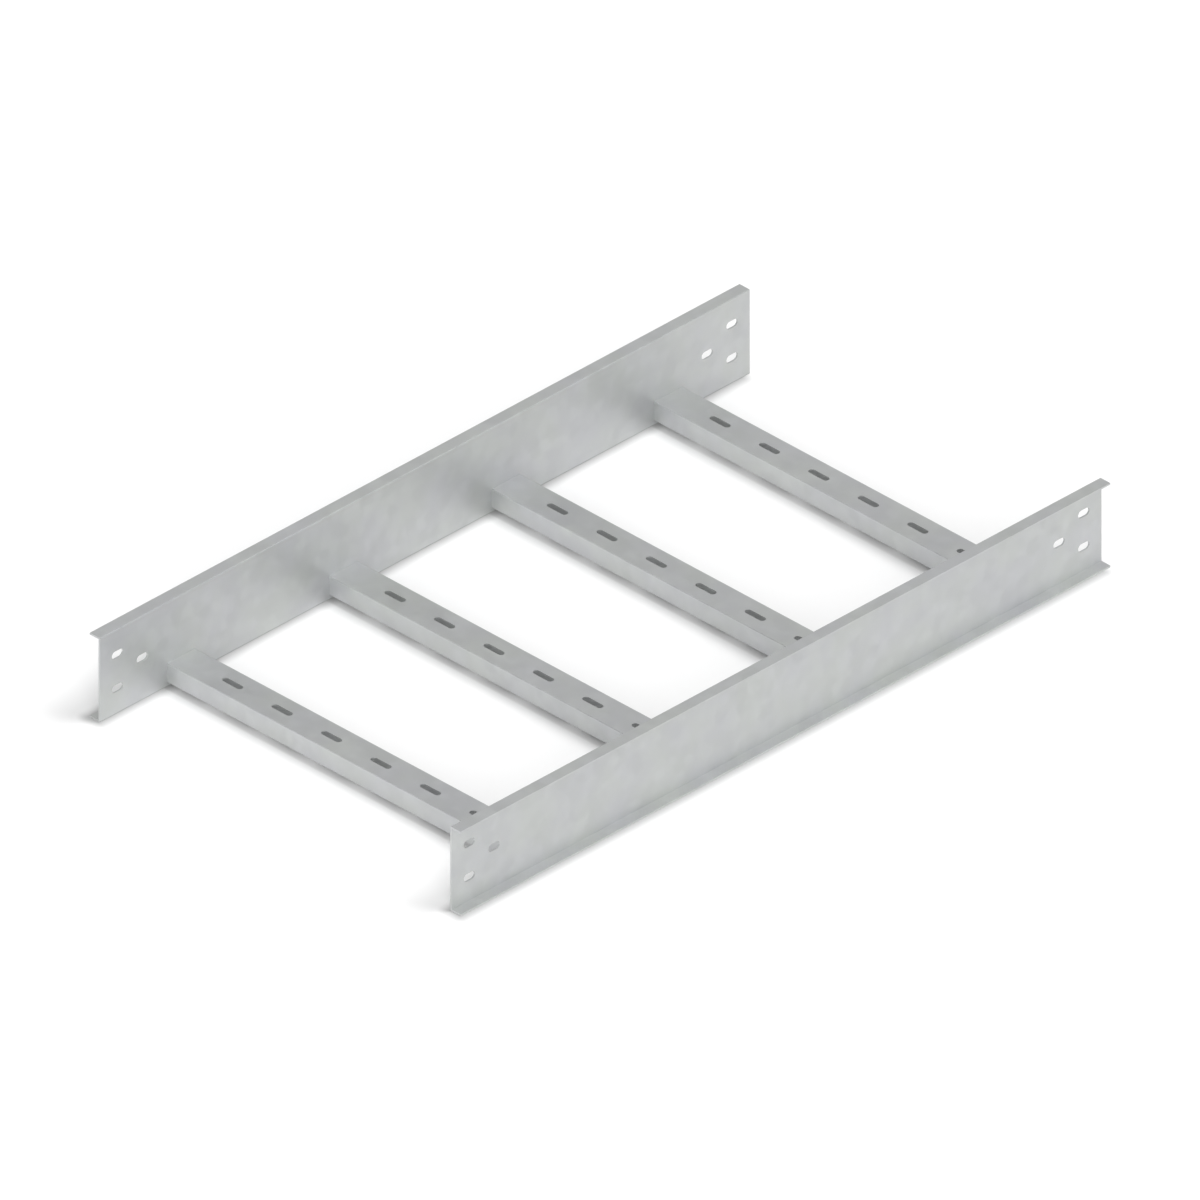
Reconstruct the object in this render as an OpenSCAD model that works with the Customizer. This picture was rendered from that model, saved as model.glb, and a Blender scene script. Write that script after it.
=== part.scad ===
// Cable ladder section: two side rails with outward flanges, joined by slotted rungs.
// Millimetres. X runs across the ladder, Y along the rails and Z up.
// The origin is on the ground, under the middle of the section.

/* [Ladder] */
// Length of the section, along the rails
ladder_length = 920; // [600:10:3000]
// Width over the webs of the two rails
ladder_width = 500; // [400:10:900]

/* [Side rails] */
// Height of a rail
rail_height = 100; // [80:1:150]
// Width of a rail's flanges, with the web
rail_flange = 14.5; // [10:0.5:40]
// Thickness of the rail's sheet
rail_sheet = 2; // [1:0.1:3]
// Outer radius of the rail's tight bends
rail_bend = 1; // [0.5:0.1:4]

/* [Splice slots] */
// Length of a splice slot, along the rail
splice_slot_length = 16; // [12:0.5:24]
// Width of a splice slot
splice_slot_width = 9; // [7:0.5:13]
// Distance from the rail's end to its pair of slots
splice_pair_inset = 25; // [15:1:30]
// Distance from one slot of the pair up to the other
splice_pair_spread = 40; // [30:1:50]
// Distance from the rail's end to its single slot
splice_single_inset = 60; // [50:1:90]

/* [Rungs] */
// Distance from one rung to the next
rung_pitch = 230; // [150:5:300]
// Width of a rung, along the rails
rung_width = 40; // [30:1:60]
// Height of a rung
rung_height = 22; // [18:0.5:30]
// Thickness of the rung's sheet
rung_sheet = 1.5; // [1:0.1:2.5]
// Outer radius of the rung's tight bends
rung_bend = 0.8; // [0.5:0.1:4]
// Height of the rungs above the ground
rung_lift = 5.5; // [3:0.5:10]

/* [Rung slots] */
// Number of slots in a rung
rung_slot_count = 6; // [1:1:6]
// Distance from one slot to the next
rung_slot_pitch = 70; // [40:1:72]
// Length of a rung slot
rung_slot_length = 27; // [15:0.5:35]
// Width of a rung slot
rung_slot_width = 7.5; // [5:0.5:12]

/* [Hidden] */
// Facets of a full circle
$fn = 64;
// Zinc-coated sheet
zinc_grey = [0.73, 0.74, 0.74];
// Distance from the ladder's middle to the inner face of a web
web_face = ladder_width / 2 - rail_sheet;
// Height of a rail's middle line
rail_middle = rail_height / 2;
// Nearest that a rung's middle comes to an end of the ladder, clear of the splice slots
rung_inset = splice_single_inset + splice_slot_length / 2 + rung_width / 2;
// As many rungs as the length holds
rung_count = 1 + floor((ladder_length - 2 * rung_inset) / rung_pitch);

// The nth of count places on a line, centred on zero
function centred(n, count, pitch) = (n - (count - 1) / 2) * pitch;

// Flat slot with round ends, long in X, extruded through both faces of a sheet around z = 0
module slot(length, width, sheet) {
    end_x = (length - width) / 2;
    linear_extrude(height = 3 * sheet, center = true) {
        square([2 * end_x, width], center = true);
        for (side = [-1, 1])
            translate([side * end_x, 0])
                circle(d = width);
    }
}

// Outline of a channel's outside or inside: round where the web meets each flange, open to +X
module channel_outline(depth, height, radius) {
    translate([radius, 0])
        square([depth - radius, height]);
    translate([0, radius])
        square([depth, height - 2 * radius]);
    if (radius > 0)
        for (y = [radius, height - radius])
            translate([radius, y])
                circle(r = radius);
}

// Section of a channel bent from sheet: its web stands on x = 0 and its flanges point to +X.
// A bend that is tighter than the sheet is thick has a sharp corner inside.
module channel_section(depth, height, sheet, bend) {
    difference() {
        channel_outline(depth, height, bend);
        translate([sheet, sheet])
            channel_outline(depth, height - 2 * sheet, max(0, bend - sheet));
    }
}

// One splice slot, through a web that lies in the plane x = 0
module splice_slot() {
    rotate([90, 0, 90])
        slot(splice_slot_length, splice_slot_width, rail_sheet);
}

// The three slots at one end of a rail, where a splice plate bolts on
module splice_slots() {
    pair_y = ladder_length / 2 - splice_pair_inset;
    single_y = ladder_length / 2 - splice_single_inset;
    for (side = [-1, 1])
        translate([0, pair_y, rail_middle + side * splice_pair_spread / 2])
            splice_slot();
    translate([0, single_y, rail_middle])
        splice_slot();
}

// The rail at +X: the rungs end on the inner face of its web, and its flanges point outwards
module side_rail() {
    color(zinc_grey)
        translate([web_face, 0, 0])
            difference() {
                rotate([90, 0, 0])
                    linear_extrude(height = ladder_length, center = true)
                        channel_section(rail_flange, rail_height, rail_sheet, rail_bend);
                translate([rail_sheet / 2, 0, 0]) {
                    splice_slots();
                    mirror([0, 1, 0])
                        splice_slots();
                }
            }
}

module side_rail_right() {
    side_rail();
}

module side_rail_left() {
    mirror([1, 0, 0])
        side_rail();
}

// A rung: a channel laid open side down, butted between the webs, with its row of slots along the top
module rung(number) {
    color(zinc_grey)
        translate([0, centred(number - 1, rung_count, rung_pitch), rung_lift])
            difference() {
                rotate([90, 0, 90])
                    linear_extrude(height = 2 * web_face, center = true)
                        translate([-rung_width / 2, rung_height])
                            rotate(-90)
                                channel_section(rung_height, rung_width, rung_sheet, rung_bend);
                for (i = [0 : rung_slot_count - 1])
                    translate([
                        centred(i, rung_slot_count, rung_slot_pitch),
                        0,
                        rung_height - rung_sheet / 2
                    ])
                        slot(rung_slot_length, rung_slot_width, rung_sheet);
            }
}

side_rail_left();
side_rail_right();
for (i = [1 : rung_count])
    rung(i);
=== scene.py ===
"""Looks of a galvanised cable ladder section: two side rails and the slotted rungs between them."""

import math

import bpy
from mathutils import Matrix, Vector


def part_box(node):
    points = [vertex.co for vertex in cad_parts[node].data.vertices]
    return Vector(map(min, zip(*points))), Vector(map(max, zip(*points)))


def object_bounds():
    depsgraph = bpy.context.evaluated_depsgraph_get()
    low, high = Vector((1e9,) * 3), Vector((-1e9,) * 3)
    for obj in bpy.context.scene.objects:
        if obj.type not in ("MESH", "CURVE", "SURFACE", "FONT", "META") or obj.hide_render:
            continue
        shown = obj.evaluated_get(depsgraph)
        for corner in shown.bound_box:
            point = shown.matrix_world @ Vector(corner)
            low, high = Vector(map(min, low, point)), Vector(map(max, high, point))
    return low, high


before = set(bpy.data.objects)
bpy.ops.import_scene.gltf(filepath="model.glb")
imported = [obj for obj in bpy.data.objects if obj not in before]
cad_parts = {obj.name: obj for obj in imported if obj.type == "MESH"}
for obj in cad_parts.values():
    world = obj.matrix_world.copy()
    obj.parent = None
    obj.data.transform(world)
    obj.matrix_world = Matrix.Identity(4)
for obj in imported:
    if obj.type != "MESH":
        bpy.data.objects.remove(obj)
cad_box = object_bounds()

# ---------------------------------------------------------------- settings

# Camera, in degrees and metres
CAMERA_AZIMUTH = 45.0
CAMERA_ELEVATION = 32.47
CAMERA_DISTANCE = 3.0
CAMERA_REACH = 50.0
VIEW_WIDTH = 1.2013  # across the square picture

# Zinc: its two greys, and the ranges of its flakes' brightness and roughness
GREEN_GREY = (0.563, 0.577, 0.567, 1.0)
BLUE_GREY = (0.558, 0.566, 0.576, 1.0)
FLAKE_SHADE = (0.94, 1.02)
FLAKE_ROUGHNESS = (0.47, 0.57)
BEND_ROUGHNESS = 0.38  # added on the bends
BEND_FULL = 0.3  # sideways part of a face's direction, times upward part, where all is added
# Patterns of the zinc: scales are in cells per metre
CLOUD_SCALE = 16.0
CLOUD_EDGES = (0.38, 0.62)  # noise between which one grey turns into the other
WARP_SCALE = 70.0
WARP_REACH = 0.012  # metres that the warp moves the flakes by, at most
SPANGLE_SCALE = 75.0
GRAIN_SCALE = 900.0
GRAIN_DEPTH = 0.0002  # metres between the lowest and highest grain
GRAIN_STRENGTH = 0.12

# Floor
FLOOR_HALF = 20.0
FLOOR_DROP = 0.0002  # metres that the floor lies below the object
FLOOR_TONE = 0.9  # of the light that the floor throws back at the object
FLOOR_SEEN = 0.945  # of the floor as the camera sees it
MIRRORED_BARE = 0.15  # share of the floor that metal mirrors without its shadow
# Painted contact shade on the floor, seen by the camera only: its least share of the open floor's
# tone, and the distances between which it fades
STANDING_SHADE = (0.51, -0.003, 0.0155)  # around a piece that stands on the floor
RAISED_SHADE = (0.8, 0.0055, 0.008)  # around a piece above it
LIT_FROM_BEHIND = 0.012  # length of a piece's far end without painted contact shade
STANDS_WITHIN = 0.001  # height above the floor up to which a piece stands on it

# Sky: strength of its walls and of its ceiling, and the degrees between which they meet
WALL_LIGHT = 0.9
CEILING_LIGHT = 0.67
WALL_TOP = 8.0
CEILING_EDGE = 28.0
WHITE = (1.0, 1.0, 1.0, 1.0)

# Soft far lamps: name, azimuth, elevation and spread in degrees, strength
LAMPS = (
    ("side", 45, 17, 40, 1.75),
    ("back", 135, 58, 30, 1.2),
    ("front", 0, 12, 30, 0.67),
)


def direction(azimuth, elevation):
    """Way towards a place: degrees around from the ladder's front, and degrees up."""
    around, up = math.radians(azimuth), math.radians(elevation)
    return Vector((
        math.sin(around) * math.cos(up),
        -math.cos(around) * math.cos(up),
        math.sin(up),
    ))


def add_object(name, data):
    """New object in the scene, which holds this data."""
    added = bpy.data.objects.new(name, data)
    bpy.context.scene.collection.objects.link(added)
    return added


# ---------------------------------------------------------------- camera


def make_camera():
    """Parallel view of the middle of the ladder, from above its front right corner."""
    lowest, highest = cad_box
    back = direction(CAMERA_AZIMUTH, CAMERA_ELEVATION)
    data = bpy.data.cameras.new("camera")
    data.type = "ORTHO"
    data.ortho_scale = VIEW_WIDTH
    data.clip_end = CAMERA_REACH
    camera = add_object("camera", data)
    camera.location = (lowest + highest) / 2 + back * CAMERA_DISTANCE
    camera.rotation_euler = back.to_track_quat("Z", "Y").to_euler()
    bpy.context.scene.camera = camera


# ---------------------------------------------------------------- node helpers


class Nodes:
    """Short way to add and join the nodes of one material or world."""

    def __init__(self, tree):
        self.tree = tree
        tree.nodes.clear()

    def add(self, kind, settings=None, **inputs):
        """Adds a node. The names of its inputs have _ for each space."""
        node = self.tree.nodes.new(kind)
        for name, value in (settings or {}).items():
            setattr(node, name, value)
        for name, value in inputs.items():
            self.feed(node, name.replace("_", " "), value)
        return node

    def feed(self, node, socket, value):
        """Joins another node's output to a socket, or sets the socket to a plain value."""
        target = node.inputs[socket]
        if isinstance(value, bpy.types.NodeSocket):
            self.tree.links.new(value, target)
        else:
            target.default_value = value

    def feed_all(self, node, *values):
        """Feeds a node's first inputs in their order, and returns the node."""
        for socket, value in enumerate(values):
            self.feed(node, socket, value)
        return node

    def math(self, operation, a, b):
        node = self.add("ShaderNodeMath", {"operation": operation})
        return self.feed_all(node, a, b).outputs[0]

    def span(self, value, low, high, to_low=0.0, to_high=1.0, curve="LINEAR"):
        """Maps value from low..high to to_low..to_high, and clamps it there."""
        node = self.add("ShaderNodeMapRange", {"interpolation_type": curve}, Value=value)
        self.feed(node, "From Min", low)
        self.feed(node, "From Max", high)
        self.feed(node, "To Min", to_low)
        self.feed(node, "To Max", to_high)
        return node.outputs["Result"]

    def vector(self, operation, *values, output="Vector"):
        node = self.add("ShaderNodeVectorMath", {"operation": operation})
        return self.feed_all(node, *values).outputs[output]

    def mix(self, factor, a, b, blend="MIX"):
        """Mixes two colours, whose sockets come after those for numbers and vectors."""
        node = self.add("ShaderNodeMix", {"data_type": "RGBA", "blend_type": blend}, Factor=factor)
        self.feed(node, 6, a)
        self.feed(node, 7, b)
        return node.outputs[2]


def new_material(name):
    material = bpy.data.materials.new(name)
    material.use_nodes = True
    return material, Nodes(material.node_tree)


# ---------------------------------------------------------------- materials


def galvanised_steel():
    """Zinc-coated sheet: matte light grey, cloudy, with faint spangle and a dull grain."""
    material, n = new_material("galvanised_steel")
    spot = n.add("ShaderNodeTexCoord")
    place = spot.outputs["Object"]

    cloud = n.add(
        "ShaderNodeTexNoise", Vector=place, Scale=CLOUD_SCALE, Detail=4.0, Roughness=0.55
    )
    tone = n.mix(n.span(cloud.outputs["Fac"], *CLOUD_EDGES), GREEN_GREY, BLUE_GREY)

    warp = n.add("ShaderNodeTexNoise", Vector=place, Scale=WARP_SCALE, Detail=2.0)
    warped = n.vector("MULTIPLY_ADD", warp.outputs["Color"], (WARP_REACH,) * 3, place)
    spangle = n.add(
        "ShaderNodeTexVoronoi",
        {"feature": "SMOOTH_F1"},
        Vector=warped,
        Scale=SPANGLE_SCALE,
        Smoothness=1.0,
    )
    flake = n.add("ShaderNodeSeparateColor", Color=spangle.outputs["Color"])
    tone = n.mix(1.0, tone, n.span(flake.outputs[0], 0.0, 1.0, *FLAKE_SHADE), "MULTIPLY")

    # The zinc is duller on the bends, which face partly sideways and partly up or down
    facing = n.add("ShaderNodeSeparateXYZ", Vector=n.vector("ABSOLUTE", spot.outputs["Normal"]))
    sideways = n.math("ADD", facing.outputs["X"], facing.outputs["Y"])
    bend = n.math("MULTIPLY", sideways, facing.outputs["Z"])
    dull = n.math(
        "ADD",
        n.span(flake.outputs[1], 0.0, 1.0, *FLAKE_ROUGHNESS),
        n.span(bend, 0.0, BEND_FULL, 0.0, BEND_ROUGHNESS),
    )

    grain = n.add(
        "ShaderNodeTexNoise", Vector=place, Scale=GRAIN_SCALE, Detail=3.0, Roughness=0.6
    )
    bump = n.add(
        "ShaderNodeBump",
        Strength=GRAIN_STRENGTH,
        Distance=GRAIN_DEPTH,
        Height=grain.outputs["Fac"],
    )
    surface = n.add(
        "ShaderNodeBsdfPrincipled",
        Base_Color=tone,
        Roughness=dull,
        Normal=bump.outputs["Normal"],
        Metallic=1.0,
    )
    n.add("ShaderNodeOutputMaterial", Surface=surface.outputs[0])
    return material


def painted_contact_shade(n):
    """Painted shade on the floor: 1 on open floor, and less close around each piece: least where
    the piece stands on it.
    """
    place = n.add("ShaderNodeNewGeometry").outputs["Position"]
    shade = 1.0
    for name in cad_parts:
        low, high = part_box(name)
        high.y -= LIT_FROM_BEHIND
        standing = low.z < cad_box[0].z + STANDS_WITHIN
        least, start, end = STANDING_SHADE if standing else RAISED_SHADE
        offset = n.vector("ABSOLUTE", n.vector("SUBTRACT", place, (low + high) / 2))
        past_side = n.vector("SUBTRACT", offset, (high - low) / 2)
        outside = n.vector("MAXIMUM", past_side, (0.0, 0.0, 0.0))
        distance = n.vector("LENGTH", outside, output="Value")
        near = n.span(distance, start, end, least, 1.0, "SMOOTHSTEP")
        shade = n.math("MULTIPLY", near, shade)
    return shade


def floor_white():
    """Pale floor that keeps the object's shadow, plus painted contact shade around the pieces that
    only the camera sees. Metal mirrors part of it as bare white.
    """
    material, n = new_material("floor_white")
    path = n.add("ShaderNodeLightPath")
    # The camera sees the floor's tone times the painted contact shade; all other rays see the plain
    # tone
    seen = n.math("MULTIPLY", painted_contact_shade(n), FLOOR_SEEN)
    tone = n.mix(path.outputs["Is Camera Ray"], (FLOOR_TONE, FLOOR_TONE, FLOOR_TONE, 1.0), seen)
    shadowed = n.add("ShaderNodeBsdfDiffuse", Color=tone)
    bare = n.add("ShaderNodeEmission", Color=WHITE, Strength=1.0)
    mirrored = n.math(
        "MAXIMUM", path.outputs["Is Glossy Ray"], path.outputs["Is Transmission Ray"]
    )
    share = n.math("MULTIPLY", mirrored, MIRRORED_BARE)
    surface = n.add("ShaderNodeMixShader")
    n.feed_all(surface, share, shadowed.outputs[0], bare.outputs[0])
    n.add("ShaderNodeOutputMaterial", Surface=surface.outputs[0])
    return material


# ---------------------------------------------------------------- studio


def make_floor():
    """One wide square, just below the object."""
    signs = ((-1, -1), (1, -1), (1, 1), (-1, 1))
    corners = [(x * FLOOR_HALF, y * FLOOR_HALF, 0.0) for x, y in signs]
    mesh = bpy.data.meshes.new("floor")
    mesh.from_pydata(corners, [], [(0, 1, 2, 3)])
    mesh.materials.append(floor_white())
    floor = add_object("floor", mesh)
    floor.location.z = cad_box[0].z - FLOOR_DROP


def make_sky():
    """Studio of pale walls, brighter than its ceiling, and white below the horizon."""
    world = bpy.data.worlds.new("studio")
    world.use_nodes = True
    bpy.context.scene.world = world
    n = Nodes(world.node_tree)
    way = n.add("ShaderNodeTexCoord").outputs["Generated"]
    height = n.add("ShaderNodeSeparateXYZ", Vector=way).outputs["Z"]
    wall_top, ceiling_edge = (math.sin(math.radians(edge)) for edge in (WALL_TOP, CEILING_EDGE))
    above = n.span(height, wall_top, ceiling_edge, WALL_LIGHT, CEILING_LIGHT)
    strength = n.math("MAXIMUM", above, n.math("LESS_THAN", height, 0.0))
    sky = n.add("ShaderNodeBackground", Color=WHITE, Strength=strength)
    n.add("ShaderNodeOutputWorld", Surface=sky.outputs[0])


def make_lamp(name, azimuth, elevation, spread, strength):
    data = bpy.data.lights.new(name, "SUN")
    data.energy = strength
    data.angle = math.radians(spread)
    lamp = add_object(name, data)
    lamp.rotation_euler = direction(azimuth, elevation).to_track_quat("Z", "Y").to_euler()


# ---------------------------------------------------------------- build

steel = galvanised_steel()
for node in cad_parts.values():
    node.data.materials.clear()
    node.data.materials.append(steel)

make_floor()
make_sky()
for lamp in LAMPS:
    make_lamp(*lamp)
make_camera()
bpy.context.scene.view_settings.view_transform = "Standard"
